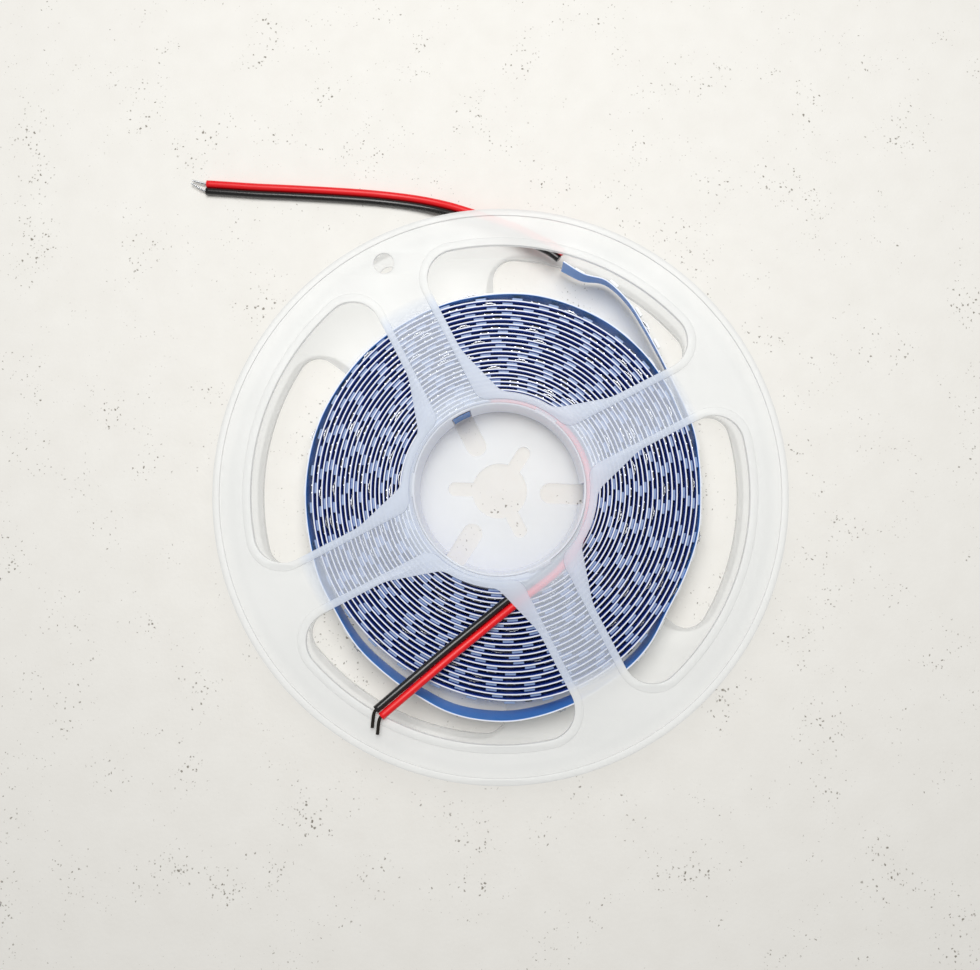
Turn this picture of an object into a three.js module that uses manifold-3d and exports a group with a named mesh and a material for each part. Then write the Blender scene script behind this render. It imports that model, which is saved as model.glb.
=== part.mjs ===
// A moulded two-flange reel that holds a flat LED strip wound on edge, with a two-wire lead at each end.
// Millimetres, +Z up. The reel lies flat: its axis is Z and it rests on the lower rim bead at z = 0.
import * as THREE from 'three';
import { mergeVertices } from 'three/addons/utils/BufferGeometryUtils.js';
import Module from 'manifold-3d';

const wasm = await Module();
wasm.setup();

// Clearances
const FIT_GAP = 0.3;        // between two pieces that meet
const REST_GAP = 0.2;       // under the strip, where it stands on the lower flange
const CUT_MARGIN = 1;       // how far a cutting solid runs past the wall it cuts

// Flanges
const FLANGE_R = 63.5;
const PLATE = 1;            // thickness of each flange plate
const BEAD = 0.5;           // height of the beads on the outer faces
const RIM_BEAD_WIDTH = 1.5;
const SPOKE_ANGLE = 27.3;   // degrees, first spoke
const SPOKES = 4;
const SPOKE_HALF = 6.6;     // half the width of a spoke
const FLARE_START = 31.5;   // radius inside which a spoke widens towards the hub
const FLARE_SLOPE = 0.3;
const FLARE_BEND_R = 12;
const RIM_WIDTH = 8.4;      // from the windows to the edge of the flange
const WINDOW_OUTER_R = FLANGE_R - RIM_WIDTH;
const WINDOW_OUTER_FILLET = 6.5;
const WINDOW_INNER_FILLET = 4;
const BEAD_WIDTH = 1.7;     // width of the bead round each window
const BEAD_OUTER_FILLET = 8;
const BEAD_INNER_FILLET = 3.5;
const LOWER_WINDOW_SPAN = 64.5;   // degrees from a narrow spoke to the radial edge of a wide one
const LOWER_FILLET = 4.8;
const TIE_HOLE_R = 2.35;    // small round hole near the rim of both flanges
const TIE_HOLE_INSET = 6.1; // from the edge of the flange to the middle of that hole
const TIE_HOLE_AT = FLANGE_R - TIE_HOLE_INSET;
const TIE_HOLE_ANGLE = 117.2;

// Hub, moulded with the lower flange
const HUB_INNER_TOP_R = 18.8;
const HUB_DRAFT = 0.4;      // how much narrower the hollow is at the floor
const HUB_RIM = 0.4;        // wall thickness at the mouth
const HUB_RING = 2.5;       // from the hub to the windows
const HUB_INNER_FLOOR_R = HUB_INNER_TOP_R - HUB_DRAFT;
const HUB_R = HUB_INNER_TOP_R + HUB_RIM;
const WINDOW_INNER_R = HUB_R + HUB_RING;
const SPINDLE_R = 6.35;
const NOTCH_WIDTH = 3.2;
const NOTCH_REACH = 11.9;
const NOTCH_ANGLE = 57.5;
const SLOT_WIDTH = 4.7;
const SLOT_START = 9.4;
const SLOT_ANGLE = -2.5;
const SLOT_END_STEP = 22.5; // degrees between the corners of a slot's round end
const HUB_FEATURES = 3;     // notches, slots and snap lips each repeat three times
const LIP_OVERHANG = 0.6;
const LIP_HALF_ANGLE = 8;
const LIP_HEIGHT = 0.22;

// Strip
const STRIP_HEIGHT = 8;
const STRIP_THICKNESS = 0.3;
const ROLL_SPACE = 10.4;    // from flange to flange
const ROLL_CLEARANCE = 1.1; // from the hub to the middle of the first turn
const ROLL_START_R = HUB_R + ROLL_CLEARANCE;
const ROLL_START_ANGLE = 97;
const ROLL_TURNS = 23;
const ROLL_PITCH = 0.97;
const ROLL_PITCH_GROWTH = 0.0034;
const ROLL_END_ANGLE = 20;
const ROLL_BULGE = { size: 2.75, at: 283, spread: 34 };   // millimetres, then degrees
const ROLL_DIP = { size: 1.65, at: 175, spread: 50 };
const LEAD_LIFT = { size: 0.75, at: 20, spread: 80 };
const LIFT_START_TURNS = 0.35;    // the first turn starts to ride over the lead here
const LIFT_FADE_TURNS = 5;        // and the lift fades over this many turns
const ROLL_END_R = 44.17;   // radius of the roll where the listed loose turn leaves it
const CHORD_SAG = 0.2;      // how far a flat facet of the roll may leave the true curve
const LOOSE_STEP = 4.2;
const LED_PITCH = 8.333;
const LED_LENGTH = 2.4;
const LED_WIDTH = 3;
const LED_HEIGHT = 0.7;
const LEDS_SHOWN = 36;      // packages modelled on the loose outer turn

// Leads
const WIRE_CORNER_R = 0.75;
const WIRE_SPACING = 1.8;
const WIRE_SIDES = 8;
const WIRE_STEP = 4;
const TIP_R = 0.25;
const TIP_REACH = { red: [-3.2, 0.8, 0.2], black: [-3.3, 1.9, 0.3] };
const PIN_R = 0.32;
const PIN_REACH = [-0.5, -3.6, -0.1];
const SOLDER = { along: 0.9, out: 0.25, up: 0.7 };
const SOLDER_GAP = 0.25;

// Levels worked out from the sizes above
const LOWER_BOTTOM = BEAD;
const LOWER_TOP = LOWER_BOTTOM + PLATE;
const UPPER_BOTTOM = LOWER_TOP + ROLL_SPACE;
const UPPER_TOP = UPPER_BOTTOM + PLATE;
const REEL_TOP = UPPER_TOP + BEAD;
const STRIP_BOTTOM = LOWER_TOP + REST_GAP;
const STRIP_TOP = STRIP_BOTTOM + STRIP_HEIGHT;
const STRIP_MIDDLE = (STRIP_BOTTOM + STRIP_TOP) / 2;

const radians = (degrees) => THREE.MathUtils.degToRad(degrees);
const polar = (radius, degrees) => new THREE.Vector2(
  radius * Math.cos(radians(degrees)),
  radius * Math.sin(radians(degrees)),
);

// Booleans

function toSolid(geometry) {
  const bare = geometry.clone();
  bare.deleteAttribute('normal');
  bare.deleteAttribute('uv');
  const merged = mergeVertices(bare, 1e-5);
  const vertProperties = new Float32Array(merged.attributes.position.array);
  const triVerts = new Uint32Array(merged.index.array);
  return new wasm.Manifold(new wasm.Mesh({ numProp: 3, vertProperties, triVerts }));
}

function toGeometry(solid) {
  const mesh = solid.getMesh();
  const geometry = new THREE.BufferGeometry();
  geometry.setAttribute('position', new THREE.BufferAttribute(new Float32Array(mesh.vertProperties), 3));
  geometry.setIndex(new THREE.BufferAttribute(new Uint32Array(mesh.triVerts), 1));
  geometry.computeVertexNormals();
  return geometry;
}

// Outlines

// Points along an arc, ends included, no further apart than the step in degrees.
function arc(centre, radius, from, to, step = 6) {
  const count = Math.max(1, Math.ceil(Math.abs(to - from) / step));
  const points = [];
  for (let i = 0; i <= count; i += 1) {
    points.push(polar(radius, from + (to - from) * i / count).add(centre));
  }
  return points;
}

function circle(radius, segments, centre = new THREE.Vector2()) {
  return arc(centre, radius, 0, 360, 360 / segments).slice(0, -1);
}

function prism(outline, bottom, top) {
  const geometry = new THREE.ExtrudeGeometry(new THREE.Shape(outline), {
    depth: top - bottom,
    bevelEnabled: false,
  });
  geometry.translate(0, 0, bottom);
  return toSolid(geometry);
}

function rotated(points, degrees) {
  return points.map((point) => point.clone().rotateAround(new THREE.Vector2(), radians(degrees)));
}

// One side of a window, from its outer corner to its inner corner. The spoke lies along +X, the window
// above it. A side has half the spoke's width, and a slope where the spoke flares towards the hub.
function windowSide(side, frame) {
  const { half, slope } = side;
  const { inner, outer, outerFillet, innerFillet } = frame;
  const outerCentre = new THREE.Vector2(
    Math.sqrt((outer - outerFillet) ** 2 - (half + outerFillet) ** 2),
    half + outerFillet,
  );
  const outerAngle = THREE.MathUtils.radToDeg(outerCentre.angle());
  const points = arc(outerCentre, outerFillet, outerAngle, -90, 20);
  const lean = THREE.MathUtils.radToDeg(Math.atan(slope));
  if (slope > 0) {
    const bendStart = FLARE_START + FLARE_BEND_R * Math.tan(radians(lean / 2));
    const bendCentre = new THREE.Vector2(bendStart, half + FLARE_BEND_R);
    points.push(...arc(bendCentre, FLARE_BEND_R, -90, -90 - lean, 9));
  }
  const away = new THREE.Vector2(slope, 1).normalize();
  const along = new THREE.Vector2(-1, slope).normalize();
  const guide = new THREE.Vector2(FLARE_START, half).addScaledVector(away, innerFillet);
  const near = guide.dot(along);
  const reach = -near - Math.sqrt(near ** 2 - guide.lengthSq() + (inner + innerFillet) ** 2);
  const innerCentre = guide.addScaledVector(along, reach);
  const innerAngle = THREE.MathUtils.radToDeg(innerCentre.angle());
  points.push(...arc(innerCentre, innerFillet, -90 - lean, innerAngle - 180, 20));
  return { points, innerAngle, outerAngle };
}

// A window between two sides, each { angle, half, slope }.
function windowOutline(first, second, frame) {
  const start = windowSide(first, frame);
  const end = windowSide(second, frame);
  const mirrored = end.points.map((point) => new THREE.Vector2(point.x, -point.y)).reverse();
  const origin = new THREE.Vector2();
  return [
    ...rotated(start.points, first.angle),
    ...arc(origin, frame.inner, first.angle + start.innerAngle, second.angle - end.innerAngle).slice(1, -1),
    ...rotated(mirrored, second.angle),
    ...arc(origin, frame.outer, second.angle - end.outerAngle, first.angle + start.outerAngle).slice(1, -1),
  ];
}

// The cut of a window, and the outer edge of the bead that runs round it.
function windowPair(first, second, outerFillet, innerFillet) {
  const cut = windowOutline(first, second, {
    inner: WINDOW_INNER_R,
    outer: WINDOW_OUTER_R,
    outerFillet,
    innerFillet,
  });
  const plain = (side) => ({ angle: side.angle, half: side.half - BEAD_WIDTH, slope: 0 });
  const edge = windowOutline(plain(first), plain(second), {
    inner: WINDOW_INNER_R - BEAD_WIDTH,
    outer: WINDOW_OUTER_R + BEAD_WIDTH,
    outerFillet: BEAD_OUTER_FILLET,
    innerFillet: BEAD_INNER_FILLET,
  });
  return { cut, edge };
}

// A flange plate with its windows and the beads on its outer face.
function flange(plateBottom, beadBottom, windows) {
  const beadTop = beadBottom + BEAD;
  const bottom = Math.min(plateBottom, beadBottom);
  const top = Math.max(plateBottom + PLATE, beadTop);
  const rimInner = FLANGE_R - RIM_BEAD_WIDTH;
  const rim = prism(circle(FLANGE_R, 96), beadBottom, beadTop)
    .subtract(prism(circle(rimInner, 96), beadBottom - CUT_MARGIN, beadTop + CUT_MARGIN));
  let solid = prism(circle(FLANGE_R, 96), plateBottom, plateBottom + PLATE).add(rim);
  for (const { edge } of windows) {
    solid = solid.add(prism(edge, beadBottom, beadTop));
  }
  for (const { cut } of windows) {
    solid = solid.subtract(prism(cut, bottom - CUT_MARGIN, top + CUT_MARGIN));
  }
  const tieHole = circle(TIE_HOLE_R, 16, polar(TIE_HOLE_AT, TIE_HOLE_ANGLE));
  return solid.subtract(prism(tieHole, bottom - CUT_MARGIN, top + CUT_MARGIN));
}

function spokeSide(index) {
  return { angle: SPOKE_ANGLE + 360 / SPOKES * index, half: SPOKE_HALF, slope: FLARE_SLOPE };
}

function upperFlange() {
  const windows = [];
  for (let i = 0; i < SPOKES; i += 1) {
    windows.push(windowPair(spokeSide(i), spokeSide(i + 1), WINDOW_OUTER_FILLET, WINDOW_INNER_FILLET));
  }
  const opening = circle(HUB_R + FIT_GAP, 60);
  return flange(UPPER_BOTTOM, UPPER_TOP, windows)
    .subtract(prism(opening, UPPER_BOTTOM - CUT_MARGIN, REEL_TOP + CUT_MARGIN));
}

// A radial slot with round ends, from one radius to another.
function radialSlot(from, to, width, degrees) {
  const half = width / 2;
  const outline = [
    ...arc(new THREE.Vector2(from + half, 0), half, 90, 270, SLOT_END_STEP),
    ...arc(new THREE.Vector2(to - half, 0), half, -90, 90, SLOT_END_STEP),
  ];
  return rotated(outline, degrees);
}

// A straight-ended slot that runs out through the hub wall.
function wallSlot(degrees) {
  const half = SLOT_WIDTH / 2;
  const outline = [
    ...arc(new THREE.Vector2(SLOT_START + half, 0), half, 90, 270, SLOT_END_STEP),
    new THREE.Vector2(HUB_R + REST_GAP, -half),
    new THREE.Vector2(HUB_R + REST_GAP, half),
  ];
  return rotated(outline, degrees);
}

function snapLip(degrees) {
  const origin = new THREE.Vector2();
  const outline = [
    ...arc(origin, HUB_R + LIP_OVERHANG, degrees - LIP_HALF_ANGLE, degrees + LIP_HALF_ANGLE, 4),
    ...arc(origin, HUB_R - REST_GAP, degrees + LIP_HALF_ANGLE, degrees - LIP_HALF_ANGLE, 4),
  ];
  return prism(outline, REEL_TOP - LIP_HEIGHT, REEL_TOP);
}

// The hollow of the hub, with its draft: a little wider at the mouth than at the floor.
function hubHollow() {
  const depth = REEL_TOP - LOWER_TOP;
  const draft = (HUB_INNER_TOP_R - HUB_INNER_FLOOR_R) / depth;
  const height = depth + CUT_MARGIN;
  const mouth = HUB_INNER_TOP_R + draft * CUT_MARGIN;
  const cone = new THREE.CylinderGeometry(mouth, HUB_INNER_FLOOR_R, height, 60);
  cone.rotateX(Math.PI / 2);
  cone.translate(0, 0, LOWER_TOP + height / 2);
  return toSolid(cone);
}

function lowerFlange() {
  const windows = [];
  for (const index of [0, SPOKES / 2]) {
    const spoke = spokeSide(index);
    const after = { angle: spoke.angle + LOWER_WINDOW_SPAN, half: 0, slope: 0 };
    const before = { angle: spoke.angle - LOWER_WINDOW_SPAN, half: 0, slope: 0 };
    windows.push(windowPair(spoke, after, LOWER_FILLET, LOWER_FILLET));
    windows.push(windowPair(before, spoke, LOWER_FILLET, LOWER_FILLET));
  }
  let solid = flange(LOWER_BOTTOM, 0, windows)
    .add(prism(circle(HUB_R, 60), LOWER_BOTTOM, REEL_TOP))
    .subtract(hubHollow())
    .subtract(prism(circle(SPINDLE_R, 40), -CUT_MARGIN, LOWER_TOP + CUT_MARGIN));
  for (let i = 0; i < HUB_FEATURES; i += 1) {
    const turn = 360 / HUB_FEATURES * i;
    const notch = radialSlot(0, NOTCH_REACH, NOTCH_WIDTH, NOTCH_ANGLE + turn);
    solid = solid
      .subtract(prism(notch, -CUT_MARGIN, LOWER_TOP + CUT_MARGIN))
      .subtract(prism(wallSlot(SLOT_ANGLE + turn), -CUT_MARGIN, UPPER_BOTTOM))
      .add(snapLip(NOTCH_ANGLE + turn));
  }
  return solid;
}

// Strip

// Difference of two angles, between -180 and 180 degrees.
function wrap(degrees) {
  return THREE.MathUtils.euclideanModulo(degrees + 180, 360) - 180;
}

// Radius of the tightly wound part. The roll isn't round: it bulges at one side and sits in at another,
// more so on its outer turns, and its first turns ride over the lead that lies against the hub.
function tightRadius(degrees) {
  const turn = (degrees - ROLL_START_ANGLE) / 360;
  const swell = ({ size, at, spread }, sharpness) => (
    size * Math.exp(-((wrap(degrees - at) / spread) ** sharpness))
  );
  const bulge = swell(ROLL_BULGE, 2);
  const dip = swell(ROLL_DIP, 2);
  const started = 1 - Math.exp(-((turn / LIFT_START_TURNS) ** 4));
  const lift = started * Math.exp(-turn / LIFT_FADE_TURNS) * swell(LEAD_LIFT, 6);
  const round = ROLL_START_R + ROLL_PITCH * turn + ROLL_PITCH_GROWTH * turn ** 2;
  return round + turn / ROLL_TURNS * (bulge - dip) + lift;
}

// The loose outer turn and its tail: angle, radius, and how far the bottom edge leans out.
const LOOSE_TURN = [
  [32, 44.6, 0], [45, 45.1, 0], [60, 45.3, 0], [80, 45.15, 0], [100, 44.4, 0], [116, 43.85, 0],
  [135, 43.6, 0], [158, 43.55, 0], [180, 43.6, 0], [204, 44.6, 0], [216, 45.25, 0], [228, 46.8, -0.2],
  [241, 48, -0.4], [249, 48.8, -0.5], [257, 50, -0.6], [265, 50.55, -0.7], [275, 50.6, -0.7],
  [289, 49.6, -0.5], [305, 48.35, -0.2], [314, 47.45, 0], [324, 45.75, 0], [336, 45.3, 0], [348, 45.3, 0],
  [360, 45, 0], [369.5, 45.3, 0.1], [377.8, 45.8, 0.4], [395.4, 46.66, 1.3], [403.7, 48.3, 1.3],
  [408, 49.5, 1.3], [414.8, 51.8, 1.3], [420.6, 53.3, 1.3], [423.6, 53.7, 1.1], [428.5, 53, 0.5],
  [434.3, 54.26, 0],
];

// Stations along the strip's middle: x, y, and the lean as the third coordinate.
function stripStations() {
  const stations = [];
  const tightEnd = ROLL_END_ANGLE + 360 * ROLL_TURNS;
  let degrees = ROLL_START_ANGLE;
  while (degrees < tightEnd) {
    const radius = tightRadius(degrees);
    const place = polar(radius, degrees);
    stations.push(new THREE.Vector3(place.x, place.y, 0));
    degrees += THREE.MathUtils.radToDeg(2 * Math.acos(1 - CHORD_SAG / radius));
  }
  const rollR = tightRadius(tightEnd);
  const leaving = polar(rollR, tightEnd);
  const guides = [new THREE.Vector3(leaving.x, leaving.y, 0)];
  const outset = rollR - ROLL_END_R;
  for (const [angle, radius, lean] of LOOSE_TURN) {
    const place = polar(radius + outset, angle);
    guides.push(new THREE.Vector3(place.x, place.y, lean));
  }
  const loose = new THREE.CatmullRomCurve3(guides, false, 'centripetal');
  const steps = Math.round(loose.getLength() / LOOSE_STEP);
  stations.push(...loose.getSpacedPoints(steps));
  return { stations, loose };
}

// A ribbon on edge along the stations: four corners at each, closed at both ends.
function ribbon(stations) {
  const positions = [];
  const half = STRIP_THICKNESS / 2;
  stations.forEach((station, i) => {
    const before = stations[Math.max(0, i - 1)];
    const after = stations[Math.min(stations.length - 1, i + 1)];
    const outward = new THREE.Vector2(after.y - before.y, before.x - after.x).normalize();
    for (const [level, shift] of [[STRIP_BOTTOM, station.z], [STRIP_TOP, 0]]) {
      for (const side of [-half, half]) {
        const offset = side + shift;
        positions.push(station.x + outward.x * offset, station.y + outward.y * offset, level);
      }
    }
  });
  const index = [];
  const quad = (a, b, c, d) => index.push(a, b, c, a, c, d);
  for (let i = 0; i < stations.length - 1; i += 1) {
    const a = 4 * i;
    const b = a + 4;
    quad(a, b, b + 1, a + 1);
    quad(a + 1, b + 1, b + 3, a + 3);
    quad(a + 3, b + 3, b + 2, a + 2);
    quad(a + 2, b + 2, b, a);
  }
  const last = 4 * (stations.length - 1);
  quad(0, 1, 3, 2);
  quad(last, last + 2, last + 3, last + 1);
  const geometry = new THREE.BufferGeometry();
  geometry.setAttribute('position', new THREE.Float32BufferAttribute(positions, 3));
  geometry.setIndex(index);
  return toSolid(geometry);
}

// Light packages on the outward face of the loose turn, counted back from the free end.
function ledPackages(loose) {
  const length = loose.getLength();
  const packages = [];
  for (let i = 0; i < LEDS_SHOWN; i += 1) {
    const place = (length - LED_PITCH * (i + 0.5)) / length;
    if (place > 0) {
      const point = loose.getPointAt(place);
      const tangent = loose.getTangentAt(place);
      const heading = Math.atan2(tangent.y, tangent.x);
      const outward = new THREE.Vector2(Math.sin(heading), -Math.cos(heading));
      const depth = LED_HEIGHT + STRIP_THICKNESS;
      const box = new THREE.BoxGeometry(LED_LENGTH, depth, LED_WIDTH);
      box.rotateX(Math.atan2(point.z, STRIP_HEIGHT));
      box.rotateZ(heading);
      const offset = depth / 2 + point.z / 2;
      box.translate(point.x + outward.x * offset, point.y + outward.y * offset, STRIP_MIDDLE);
      packages.push(toSolid(box));
    }
  }
  return packages;
}

function ledStrip(stations, loose) {
  let solid = ribbon(stations);
  for (const piece of ledPackages(loose)) {
    solid = solid.add(piece);
  }
  return solid;
}

// A small mound of solder on the strip's outward face, beside one end.
function solderMound(place, heading, height) {
  const geometry = new THREE.SphereGeometry(1, 10, 8);
  geometry.scale(SOLDER.along, SOLDER.out, SOLDER.up);
  geometry.rotateZ(heading);
  geometry.translate(place.x, place.y, height);
  return toSolid(geometry);
}

// Leads

// The middle of each two-wire lead: x, y, z, and how the pair lies. At 90 the red wire is above the black
// one, at 0 it is on the left of the way out from the strip, and at 180 on the right.
const OUTER_LEAD = [
  [14.3, 54.15, 7.3, 150], [12.95, 55.35, 7.1, 155], [11.7, 56.25, 6.9, 160], [9.2, 57.7, 6.3, 165],
  [6.6, 59.2, 5.6, 170], [3.95, 60.8, 4.9, 175], [0.55, 62.3, 4.2, 178], [-2.8, 63.65, 3.5, 180],
  [-5.9, 64.85, 3, 180], [-9, 66, 2.6, 180], [-11.9, 67.05, 2.15, 180], [-15, 68, 1.6, 180],
  [-19.2, 69, 1.15, 180], [-24, 69.8, 0.93, 180], [-31, 70.6, 0.9, 180], [-37.9, 71.15, 0.9, 180],
  [-44.8, 71.6, 0.9, 180], [-51.8, 72, 0.9, 180], [-58.7, 72.35, 0.9, 180], [-65.1, 72.8, 0.9, 180],
  [-70.85, 73.2, 0.9, 180],
];

const INNER_LEAD = [
  [-1.94, 20.2, 5.7, 90], [1.77, 20.22, 5.8, 90], [6.94, 19.08, 6.1, 90], [11.64, 16.63, 6.4, 90],
  [15.55, 13.05, 6.7, 90], [18.4, 8.58, 7.1, 90], [19.99, 3.53, 7.6, 90], [20.23, -1.77, 8.4, 90],
  [19.22, -6.99, 9.6, 78], [17.5, -10.93, 10.15, 56], [15.5, -13.95, 10.42, 38], [13.4, -16.2, 10.66, 18],
  [11.6, -18, 10.8, 5], [7.3, -21.4, 10.8, 0], [2.5, -25, 10.8, 0], [-4.2, -30.4, 10.85, 0],
  [-11.2, -36, 11.7, 0], [-18.8, -42.3, 13.3, 0], [-25.9, -48.2, 14.4, 0],
];

// The path of one wire of a pair, on the given side of the pair's middle.
function wirePath(lead, side) {
  const middles = lead.map(([x, y, z]) => new THREE.Vector3(x, y, z));
  const up = new THREE.Vector3(0, 0, 1);
  const points = middles.map((middle, i) => {
    const before = middles[Math.max(0, i - 1)];
    const after = middles[Math.min(middles.length - 1, i + 1)];
    const heading = new THREE.Vector3(after.x - before.x, after.y - before.y, 0).normalize();
    const left = new THREE.Vector3().crossVectors(up, heading);
    const lie = radians(lead[i][3]);
    const reach = side * WIRE_SPACING / 2;
    return middle.clone()
      .addScaledVector(left, reach * Math.cos(lie))
      .addScaledVector(up, reach * Math.sin(lie));
  });
  return new THREE.CatmullRomCurve3(points, false, 'centripetal');
}

function tube(path, radius, sides, steps) {
  const section = new THREE.Shape(circle(radius, sides));
  const geometry = new THREE.ExtrudeGeometry(section, { steps, bevelEnabled: false, extrudePath: path });
  return toSolid(geometry);
}

function wire(path) {
  return tube(path, WIRE_CORNER_R, WIRE_SIDES, Math.ceil(path.getLength() / WIRE_STEP));
}

// A bare wire end that leaves the insulation straight, and then bends to where it reaches.
function wireEnd(path, radius, reach) {
  const heading = path.getTangentAt(1).setZ(0).normalize();
  const from = path.getPointAt(1).addScaledVector(heading, FIT_GAP);
  const bend = from.clone().addScaledVector(heading, reach.length() / 5);
  const to = from.clone().add(reach);
  return tube(new THREE.CatmullRomCurve3([from, bend, to]), radius, WIRE_SIDES, 4);
}

// Materials

function finish(color, roughness, metalness = 0) {
  return new THREE.MeshStandardMaterial({ color, roughness, metalness });
}

const frostedPlastic = finish(0xeeede8, 0.45);
const stripWhite = finish(0xf2f3f5, 0.4);
const redInsulation = finish(0xe8202c, 0.35);
const blackInsulation = finish(0x1a1a1a, 0.35);
const tinnedWire = finish(0xb9bcc0, 0.3, 1);
const pinMetal = finish(0x55504a, 0.4, 1);

// The reel

const reel = new THREE.Group();

function addPiece(name, solid, material) {
  const piece = new THREE.Mesh(toGeometry(solid), material);
  piece.name = name;
  reel.add(piece);
}

addPiece('lower_flange', lowerFlange(), frostedPlastic);
addPiece('upper_flange', upperFlange(), frostedPlastic);

const { stations, loose } = stripStations();
addPiece('led_strip', ledStrip(stations, loose), stripWhite);

const solderOffset = STRIP_THICKNESS / 2 + SOLDER.out + SOLDER_GAP;
const stripEnds = [
  ['inner', stations[0], stations[1], 1],
  ['outer', stations[stations.length - 1], stations[stations.length - 2], -1],
];
for (const [end, at, next, direction] of stripEnds) {
  const along = new THREE.Vector2(next.x - at.x, next.y - at.y).normalize();
  const outward = new THREE.Vector2(along.y, -along.x).multiplyScalar(direction);
  const place = new THREE.Vector2(at.x, at.y)
    .addScaledVector(along, SOLDER.along + FIT_GAP)
    .addScaledVector(outward, solderOffset);
  for (const [pole, side] of [['plus', 1], ['minus', -1]]) {
    const height = STRIP_MIDDLE + side * WIRE_SPACING / 2;
    addPiece(`${end}_solder_${pole}`, solderMound(place, along.angle(), height), tinnedWire);
  }
}

const wires = [
  ['red', 1, redInsulation],
  ['black', -1, blackInsulation],
];
for (const [colour, side, insulation] of wires) {
  const outerPath = wirePath(OUTER_LEAD, side);
  addPiece(`outer_lead_${colour}`, wire(outerPath), insulation);
  const tipReach = new THREE.Vector3(...TIP_REACH[colour]);
  addPiece(`outer_tip_${colour}`, wireEnd(outerPath, TIP_R, tipReach), tinnedWire);
  const innerPath = wirePath(INNER_LEAD, side);
  addPiece(`inner_lead_${colour}`, wire(innerPath), insulation);
  const pinReach = new THREE.Vector3(...PIN_REACH);
  addPiece(`inner_pin_${colour}`, wireEnd(innerPath, PIN_R, pinReach), pinMetal);
}

export default reel;
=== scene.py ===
# %% [markdown]
# A reel of LED strip, dressed for a photograph
#
# The reel is a frosted two-flange spool. A flexible strip of lights stands on edge in it, wound in
# twenty-four turns, and a red and black lead leaves each end. The solid parts come from a frame of
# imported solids. This script keeps their places and sizes, and gives every surface its real finish.

# %% Load the frame
import math

import bmesh
import bpy
import numpy as np
from mathutils import Matrix, Vector


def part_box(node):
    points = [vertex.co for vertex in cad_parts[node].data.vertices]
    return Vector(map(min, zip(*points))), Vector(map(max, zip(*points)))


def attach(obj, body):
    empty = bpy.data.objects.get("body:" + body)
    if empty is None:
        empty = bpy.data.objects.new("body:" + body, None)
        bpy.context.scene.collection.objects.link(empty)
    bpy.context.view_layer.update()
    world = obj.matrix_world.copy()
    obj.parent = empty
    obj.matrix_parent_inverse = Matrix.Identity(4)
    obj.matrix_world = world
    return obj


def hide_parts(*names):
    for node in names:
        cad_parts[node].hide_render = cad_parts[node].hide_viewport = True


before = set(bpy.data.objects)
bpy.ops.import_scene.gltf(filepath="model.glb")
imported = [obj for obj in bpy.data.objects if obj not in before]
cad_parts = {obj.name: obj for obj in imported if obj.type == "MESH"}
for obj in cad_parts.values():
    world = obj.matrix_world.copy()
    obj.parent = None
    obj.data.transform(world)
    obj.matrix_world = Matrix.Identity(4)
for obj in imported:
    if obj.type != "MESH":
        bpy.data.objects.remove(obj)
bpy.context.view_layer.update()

MM = 0.001
print("frame nodes:", sorted(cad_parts))

# %% [markdown]
# Sizes come next. The levels are read from the frame, so that they follow the solids: the floor of the
# reel, the two flange plates and the strip between them. The other values are the reel's own sizes.

# %% Levels and sizes
REEL_LOW, REEL_HIGH = (corner[2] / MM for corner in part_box("lower_flange"))
UPPER_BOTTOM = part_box("upper_flange")[0][2] / MM
STRIP_BOTTOM, STRIP_TOP = (corner[2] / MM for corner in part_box("led_strip"))
FLANGE_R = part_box("upper_flange")[1][0] / MM
PLATE = 1.0
BEAD = 0.5
LOWER_TOP = REEL_LOW + BEAD + PLATE
UPPER_TOP = UPPER_BOTTOM + PLATE
print("flange radius", round(FLANGE_R, 2), "reel height", round(REEL_HIGH, 2))

# %% [markdown]
# The camera looks down on the reel from about 23 cm, as the photographer's did. Four facts place it:
# how long the lens is, which pixel lies straight below it, which pixel the lens points at, and which
# pixel the middle of the hub falls on. The pixels are counted in a frame of 980 by 970.

# %% Camera
FRAME_PX = (980, 970)
LENS_PX = 990
AXIS_PX = (490, 430)
BELOW_PX = (505, 535)
HUB_PX = (499.3, 488.6)
HUB_DEPTH = 218
SENSOR = 36
NEAREST = 10


def new_object(name, data):
    """An object that holds the data, in the scene."""
    made = bpy.data.objects.new(name, data)
    bpy.context.scene.collection.objects.link(made)
    return made


def ray_through(pixel):
    """Direction of a pixel in the camera's own axes, one unit deep."""
    return Vector(((pixel[0] - AXIS_PX[0]) / LENS_PX, (AXIS_PX[1] - pixel[1]) / LENS_PX, -1))


def make_camera():
    up = -ray_through(BELOW_PX).normalized()
    forward = Vector((0, 1, 0)) - up * up.y
    forward.normalize()
    right = forward.cross(up)
    turn = Matrix((right, forward, up))
    place = Vector((0, 0, REEL_HIGH)) - turn @ (ray_through(HUB_PX) * HUB_DEPTH)
    data = bpy.data.cameras.new("camera")
    data.sensor_width = SENSOR
    data.lens = SENSOR * LENS_PX / FRAME_PX[0]
    data.shift_y = (AXIS_PX[1] - FRAME_PX[1] / 2) / FRAME_PX[0]
    data.clip_start = NEAREST * MM
    made = new_object("camera", data)
    made.matrix_world = Matrix.Translation(place * MM) @ turn.to_4x4()
    bpy.context.scene.camera = made
    return made


camera = make_camera()
print("camera at", [round(value / MM, 1) for value in camera.location])

# %% [markdown]
# Helpers for meshes. A piece is made in millimetres and stored in metres, with its object at the origin
# and its place in its mesh.

# %% Mesh helpers
SMOOTH_ANGLE = 35
MERGE_WITHIN = 1e-7


def add_mesh(name, mesh, smooth_angle=SMOOTH_ANGLE):
    mesh.name = name
    mesh.polygons.foreach_set("use_smooth", [True] * len(mesh.polygons))
    mesh.set_sharp_from_angle(angle=math.radians(smooth_angle))
    return new_object(name, mesh)


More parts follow.
